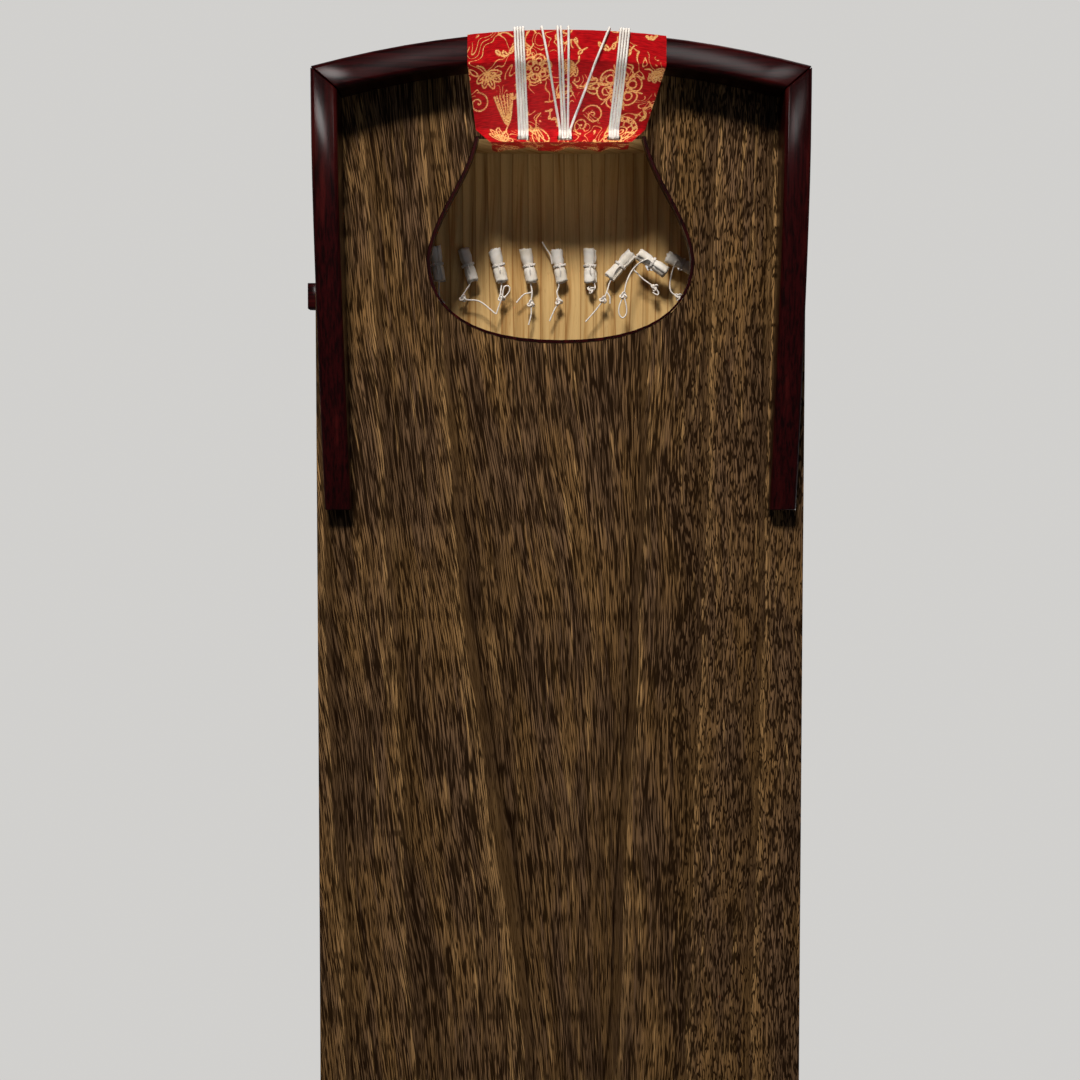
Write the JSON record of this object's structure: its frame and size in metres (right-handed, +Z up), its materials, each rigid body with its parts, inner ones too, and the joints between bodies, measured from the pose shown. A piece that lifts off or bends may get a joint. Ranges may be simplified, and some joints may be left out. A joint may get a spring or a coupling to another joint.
{
  "type": "koto long zither",
  "caption": "Long board zither with a hollow arched body, movable bridges, two fixed bridges, a rosewood foot rim, sound holes and a brocade tail cloth.",
  "frame": {"origin": "on the floor under the middle of the instrument, as it stands for playing", "axes": "+X along the length towards the head, +Y across towards the first string, away from the player, +Z up"},
  "size_m": [1.8249, 0.2616, 0.1834],
  "materials": {
    "scorched_paulownia": "scorched and brushed, open grain",
    "pale_paulownia": "planed and gouged, unfinished",
    "rosewood": "polished",
    "brocade": "satin with woven metallic gold thread",
    "white_cord": "twisted polyester cord",
    "ivory_plastic": "satin",
    "white_cloth": "rolled cotton"
  },
  "bodies": {
    "root": {"top_shell": "scorched_paulownia", "back_plate": "scorched_paulownia", "tail_block": "pale_paulownia", "head_block": "pale_paulownia", "tail_brace": "pale_paulownia", "head_brace": "pale_paulownia", "head_face": "rosewood", "tail_sound_hole_binding": "rosewood", "head_sound_hole_binding": "rosewood", "tail_end_rail": "rosewood", "tail_rail_left": "rosewood", "tail_rail_right": "rosewood", "head_foot_left": "rosewood", "head_foot_right": "rosewood", "head_bridge": "rosewood", "tail_bridge": "rosewood", "leaf_plate": "rosewood", "tail_cloth": "brocade", "spare_strands_left": "white_cord", "spare_strands_centre": "white_cord", "spare_strands_right": "white_cord", "string_01": "white_cord", "string_02": "white_cord", "string_03": "white_cord", "string_04": "white_cord", "string_05": "white_cord", "string_06": "white_cord", "string_07": "white_cord", "string_08": "white_cord", "string_09": "white_cord", "string_10": "white_cord", "string_11": "white_cord", "string_12": "white_cord", "string_13": "white_cord", "anchor_roll_01": "white_cloth", "anchor_roll_02": "white_cloth", "anchor_roll_03": "white_cloth", "anchor_roll_04": "white_cloth", "anchor_roll_05": "white_cloth", "anchor_roll_06": "white_cloth", "anchor_roll_07": "white_cloth", "anchor_roll_08": "white_cloth", "anchor_roll_09": "white_cloth", "anchor_roll_10": "white_cloth", "anchor_roll_11": "white_cloth", "anchor_roll_12": "white_cloth", "anchor_roll_13": "white_cloth"},
    "bridge_01": {"bridge_01": "ivory_plastic"},
    "bridge_02": {"bridge_02": "ivory_plastic"},
    "bridge_03": {"bridge_03": "ivory_plastic"},
    "bridge_04": {"bridge_04": "ivory_plastic"},
    "bridge_05": {"bridge_05": "ivory_plastic"},
    "bridge_06": {"bridge_06": "ivory_plastic"},
    "bridge_07": {"bridge_07": "ivory_plastic"},
    "bridge_08": {"bridge_08": "ivory_plastic"},
    "bridge_09": {"bridge_09": "ivory_plastic"},
    "bridge_10": {"bridge_10": "ivory_plastic"},
    "bridge_11": {"bridge_11": "ivory_plastic"},
    "bridge_12": {"bridge_12": "ivory_plastic"},
    "bridge_13": {"bridge_13": "ivory_plastic"}
  },
  "joints": [
    {"name": "bridge_01_slide", "type": "slide", "parent": "root", "child": "bridge_01", "axis": [0.9997, 0.0038, 0.0224], "range_m": [-0.09, 0.09], "deforming": ["string_01"]},
    {"name": "bridge_02_slide", "type": "slide", "parent": "root", "child": "bridge_02", "axis": [0.9993, 0.0031, 0.0385], "range_m": [-0.09, 0.0655], "deforming": ["string_02"]},
    {"name": "bridge_03_slide", "type": "slide", "parent": "root", "child": "bridge_03", "axis": [0.9994, 0.0025, 0.0334], "range_m": [-0.0655, 0.0265], "deforming": ["string_03"]},
    {"name": "bridge_04_slide", "type": "slide", "parent": "root", "child": "bridge_04", "axis": [0.9995, 0.0019, 0.031], "range_m": [-0.0265, 0.09], "deforming": ["string_04"]},
    {"name": "bridge_05_slide", "type": "slide", "parent": "root", "child": "bridge_05", "axis": [0.9997, 0.0013, 0.0227], "range_m": [-0.09, 0.018], "deforming": ["string_05"]},
    {"name": "bridge_06_slide", "type": "slide", "parent": "root", "child": "bridge_06", "axis": [0.9998, 0.0006, 0.021], "range_m": [-0.018, 0.0795], "deforming": ["string_06"]},
    {"name": "bridge_07_slide", "type": "slide", "parent": "root", "child": "bridge_07", "axis": [0.9999, 0, 0.0147], "range_m": [-0.0795, 0.0295], "deforming": ["string_07"]},
    {"name": "bridge_08_slide", "type": "slide", "parent": "root", "child": "bridge_08", "axis": [0.9999, -0.0006, 0.0121], "range_m": [-0.0295, 0.0095], "deforming": ["string_08"]},
    {"name": "bridge_09_slide", "type": "slide", "parent": "root", "child": "bridge_09", "axis": [0.9999, -0.0013, 0.0108], "range_m": [-0.0095, 0.0505], "deforming": ["string_09"]},
    {"name": "bridge_10_slide", "type": "slide", "parent": "root", "child": "bridge_10", "axis": [1, -0.0019, 0.0066], "range_m": [-0.0505, 0.0055], "deforming": ["string_10"]},
    {"name": "bridge_11_slide", "type": "slide", "parent": "root", "child": "bridge_11", "axis": [1, -0.0025, 0.0056], "range_m": [-0.0055, 0.0365], "deforming": ["string_11"]},
    {"name": "bridge_12_slide", "type": "slide", "parent": "root", "child": "bridge_12", "axis": [1, -0.0031, 0.0024], "range_m": [-0.0365, 0.011], "deforming": ["string_12"]},
    {"name": "bridge_13_slide", "type": "slide", "parent": "root", "child": "bridge_13", "axis": [1, -0.0038, 0.001], "range_m": [-0.011, 0.09], "deforming": ["string_13"]}
  ]
}
